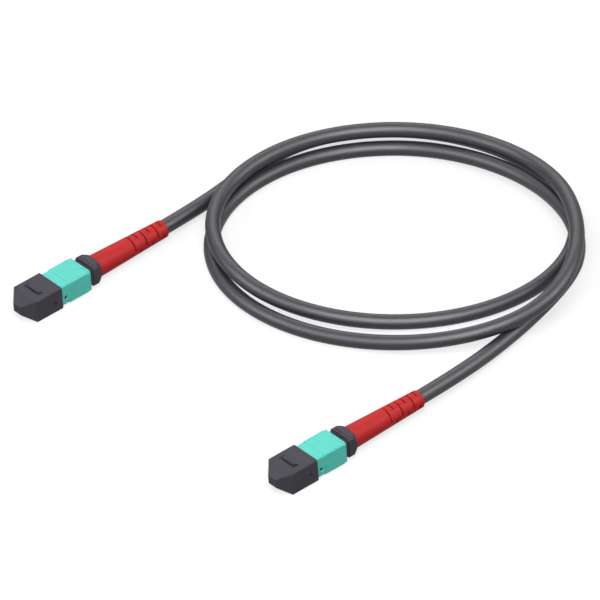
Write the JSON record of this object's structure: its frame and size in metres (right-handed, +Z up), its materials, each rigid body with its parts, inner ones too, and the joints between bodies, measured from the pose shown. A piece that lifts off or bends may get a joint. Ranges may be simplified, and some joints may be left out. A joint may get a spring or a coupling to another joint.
{
  "type": "mpo patch cable",
  "caption": "Black fibre patch cable in a loose coil, with an aqua push-pull multi-fibre plug, a red slotted boot and a black dust cap on both ends.",
  "frame": {"origin": "on the surface the plugs lie on, below the middle of the pair of plugs", "axes": "+Z up; the plugs lie side by side along +Y, point towards -X, and the cable leaves them towards +X"},
  "size_m": [0.1914, 0.1577, 0.0177],
  "materials": {
    "cap_black": "satin moulded plastic",
    "sleeve_aqua": "satin moulded plastic",
    "housing_black": "satin moulded plastic",
    "ferrule_dark": "filled moulding with a polished end",
    "soft_white": "soft moulded rubber",
    "clamp_steel": "stamped steel",
    "spring_steel": "drawn spring wire",
    "collar_black": "satin moulded plastic",
    "crimp_metal": "crimped metal",
    "yarn_yellow": "aramid yarn",
    "ribbon_aqua": "coated fibres",
    "boot_red": "soft moulded boot",
    "cable_black": "extruded jacket with a soft sheen"
  },
  "bodies": {
    "cord": {"cable": "cable_black", "inner_housing_a": "housing_black", "ferrule_spring_a": "spring_steel", "coupling_spring_left_a": "spring_steel", "coupling_spring_right_a": "spring_steel", "rear_housing_a": "collar_black", "crimp_ring_a": "crimp_metal", "strength_yarn_a": "yarn_yellow", "fibre_ribbon_a": "ribbon_aqua", "strain_relief_boot_a": "boot_red", "inner_housing_b": "housing_black", "ferrule_spring_b": "spring_steel", "coupling_spring_left_b": "spring_steel", "coupling_spring_right_b": "spring_steel", "rear_housing_b": "collar_black", "crimp_ring_b": "crimp_metal", "strength_yarn_b": "yarn_yellow", "fibre_ribbon_b": "ribbon_aqua", "strain_relief_boot_b": "boot_red"},
    "cap_a": {"dust_cap_a": "cap_black"},
    "sleeve_a": {"coupling_sleeve_a": "sleeve_aqua"},
    "ferrule_a": {"ferrule_a": "ferrule_dark", "ferrule_boot_a": "soft_white", "pin_clamp_a": "clamp_steel"},
    "cap_b": {"dust_cap_b": "cap_black"},
    "sleeve_b": {"coupling_sleeve_b": "sleeve_aqua"},
    "ferrule_b": {"ferrule_b": "ferrule_dark", "ferrule_boot_b": "soft_white", "pin_clamp_b": "clamp_steel"}
  },
  "joints": [
    {"name": "cap_a_pull_off", "type": "slide", "parent": "cord", "child": "cap_a", "axis": [-1, 0, 0], "range_m": [0, 0.016]},
    {"name": "sleeve_a_release", "type": "slide", "parent": "cord", "child": "sleeve_a", "axis": [1, 0, 0], "range_m": [0, 0.0016], "stiffness_N_per_m": 250, "deforming": ["coupling_spring_left_a", "coupling_spring_right_a"]},
    {"name": "ferrule_a_float", "type": "slide", "parent": "cord", "child": "ferrule_a", "axis": [1, 0, 0], "range_m": [0, 0.0008], "stiffness_N_per_m": 300, "deforming": ["ferrule_spring_a"]},
    {"name": "cap_b_pull_off", "type": "slide", "parent": "cord", "child": "cap_b", "axis": [-1, 0, 0], "range_m": [0, 0.016]},
    {"name": "sleeve_b_release", "type": "slide", "parent": "cord", "child": "sleeve_b", "axis": [1, 0, 0], "range_m": [0, 0.0016], "stiffness_N_per_m": 250, "deforming": ["coupling_spring_left_b", "coupling_spring_right_b"]},
    {"name": "ferrule_b_float", "type": "slide", "parent": "cord", "child": "ferrule_b", "axis": [1, 0, 0], "range_m": [0, 0.0008], "stiffness_N_per_m": 300, "deforming": ["ferrule_spring_b"]}
  ]
}
